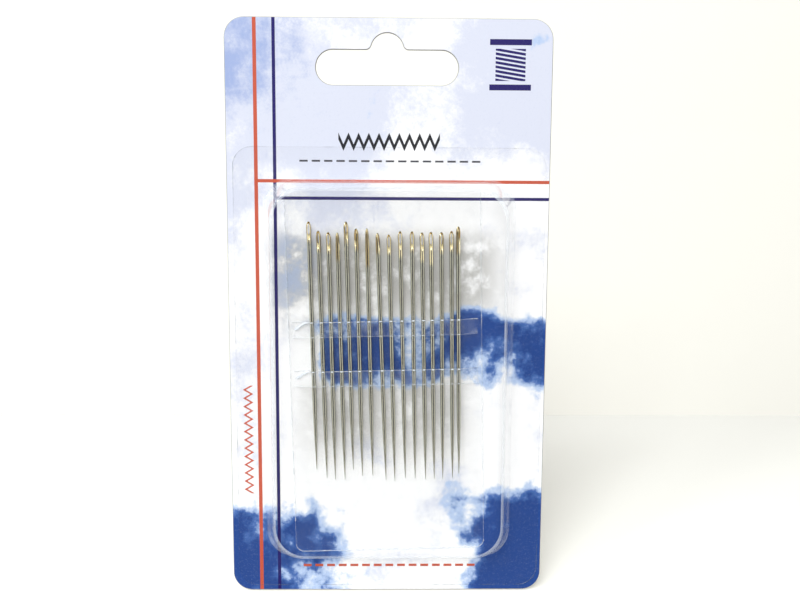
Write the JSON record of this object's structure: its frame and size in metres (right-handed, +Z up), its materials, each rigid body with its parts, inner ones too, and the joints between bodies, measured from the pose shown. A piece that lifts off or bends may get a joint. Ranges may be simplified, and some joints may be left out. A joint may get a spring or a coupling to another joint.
{
  "type": "carded sewing needle pack",
  "caption": "Carded blister pack of hand sewing needles: a printed card with a hang slot, a clear domed blister and a slit carrier sheet in which long-eyed needles slide.",
  "frame": {"origin": "middle of the hang slot on the card's front face", "axes": "+Z up along the hanging card, +Y from the front of the pack through the card to its back, +X to the right seen from the front"},
  "size_m": [0.0738, 0.0073, 0.1335],
  "materials": {
    "card_stock": "printed, satin varnish",
    "clear_film": "clear, glossy thermoformed film",
    "carrier_film": "clear, slightly hazy film",
    "needle_steel": "polished plating, gilt at the eye"
  },
  "bodies": {
    "pack": {"backing_card": "card_stock", "blister": "clear_film", "needle_carrier": "carrier_film"},
    "needle_01": {"needle_01": "needle_steel"},
    "needle_02": {"needle_02": "needle_steel"},
    "needle_03": {"needle_03": "needle_steel"},
    "needle_04": {"needle_04": "needle_steel"},
    "needle_05": {"needle_05": "needle_steel"},
    "needle_06": {"needle_06": "needle_steel"},
    "needle_07": {"needle_07": "needle_steel"},
    "needle_08": {"needle_08": "needle_steel"},
    "needle_09": {"needle_09": "needle_steel"},
    "needle_10": {"needle_10": "needle_steel"},
    "needle_11": {"needle_11": "needle_steel"},
    "needle_12": {"needle_12": "needle_steel"},
    "needle_13": {"needle_13": "needle_steel"},
    "needle_14": {"needle_14": "needle_steel"},
    "needle_15": {"needle_15": "needle_steel"},
    "needle_16": {"needle_16": "needle_steel"}
  },
  "joints": [
    {"name": "needle_01_slide", "type": "slide", "parent": "pack", "child": "needle_01", "axis": [-0.027, 0, 0.9996], "range_m": [-0.0201, 0.0081]},
    {"name": "needle_02_slide", "type": "slide", "parent": "pack", "child": "needle_02", "axis": [-0.0305, 0, 0.9995], "range_m": [-0.0181, 0.0101]},
    {"name": "needle_03_slide", "type": "slide", "parent": "pack", "child": "needle_03", "axis": [-0.0253, 0, 0.9997], "range_m": [-0.0177, 0.0104]},
    {"name": "needle_04_slide", "type": "slide", "parent": "pack", "child": "needle_04", "axis": [-0.0288, 0, 0.9996], "range_m": [-0.0177, 0.0105]},
    {"name": "needle_05_slide", "type": "slide", "parent": "pack", "child": "needle_05", "axis": [-0.0288, 0, 0.9996], "range_m": [-0.0201, 0.008]},
    {"name": "needle_06_slide", "type": "slide", "parent": "pack", "child": "needle_06", "axis": [-0.0253, 0, 0.9997], "range_m": [-0.0186, 0.0096]},
    {"name": "needle_07_slide", "type": "slide", "parent": "pack", "child": "needle_07", "axis": [-0.0253, 0, 0.9997], "range_m": [-0.0186, 0.0095]},
    {"name": "needle_08_slide", "type": "slide", "parent": "pack", "child": "needle_08", "axis": [-0.0375, 0, 0.9993], "range_m": [-0.0176, 0.0106]},
    {"name": "needle_09_slide", "type": "slide", "parent": "pack", "child": "needle_09", "axis": [-0.0288, 0, 0.9996], "range_m": [-0.0173, 0.0109]},
    {"name": "needle_10_slide", "type": "slide", "parent": "pack", "child": "needle_10", "axis": [-0.027, 0, 0.9996], "range_m": [-0.018, 0.0101]},
    {"name": "needle_11_slide", "type": "slide", "parent": "pack", "child": "needle_11", "axis": [-0.0201, 0, 0.9998], "range_m": [-0.018, 0.0102]},
    {"name": "needle_12_slide", "type": "slide", "parent": "pack", "child": "needle_12", "axis": [-0.0236, 0, 0.9997], "range_m": [-0.0178, 0.0104]},
    {"name": "needle_13_slide", "type": "slide", "parent": "pack", "child": "needle_13", "axis": [-0.0236, 0, 0.9997], "range_m": [-0.0179, 0.0103]},
    {"name": "needle_14_slide", "type": "slide", "parent": "pack", "child": "needle_14", "axis": [-0.0166, 0, 0.9999], "range_m": [-0.0179, 0.0103]},
    {"name": "needle_15_slide", "type": "slide", "parent": "pack", "child": "needle_15", "axis": [-0.0166, 0, 0.9999], "range_m": [-0.0181, 0.01]},
    {"name": "needle_16_slide", "type": "slide", "parent": "pack", "child": "needle_16", "axis": [-0.0166, 0, 0.9999], "range_m": [-0.0191, 0.009]}
  ]
}
